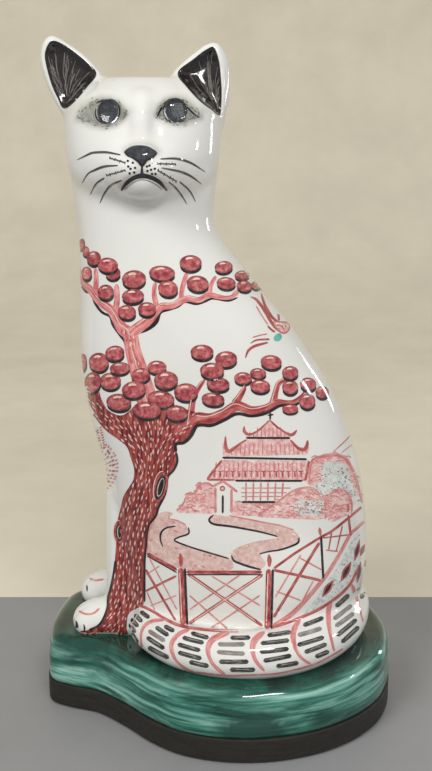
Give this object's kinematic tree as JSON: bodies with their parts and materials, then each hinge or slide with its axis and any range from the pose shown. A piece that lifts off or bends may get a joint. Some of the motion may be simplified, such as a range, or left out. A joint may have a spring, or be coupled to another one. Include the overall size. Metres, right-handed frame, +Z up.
{
  "type": "ceramic cat figurine",
  "caption": "Seated glazed ceramic cat with a painted garden scene, glass eyes and a wrapped tail, on a green mound and a dark plinth.",
  "frame": {"origin": "centre of the base outline's bounding box, on the surface it stands on", "axes": "+Z up; the face looks along -Y; the chest and paws point along -X, so the near flank with the painted scene is on -Y and the tail comes from +X"},
  "size_m": [0.2172, 0.1574, 0.3999],
  "materials": {
    "white_glaze": "gloss white glaze with hand-painted overglaze decoration",
    "green_glaze": "streaky brushed green glaze, gloss",
    "ebonised_wood": "matt near-black",
    "felt": "felt",
    "eye_glass": "polished",
    "eye_slate": "painted slate grey",
    "eye_plaster": "unglazed plaster"
  },
  "bodies": {
    "root": {"cat_body": "white_glaze", "mound_base": "green_glaze", "plinth": "ebonised_wood", "base_felt": "felt", "left_eye_glass": "eye_glass", "right_eye_glass": "eye_glass", "left_eye_disc": "eye_slate", "right_eye_disc": "eye_slate", "left_eye_plaster": "eye_plaster", "right_eye_plaster": "eye_plaster"}
  },
  "joints": []
}
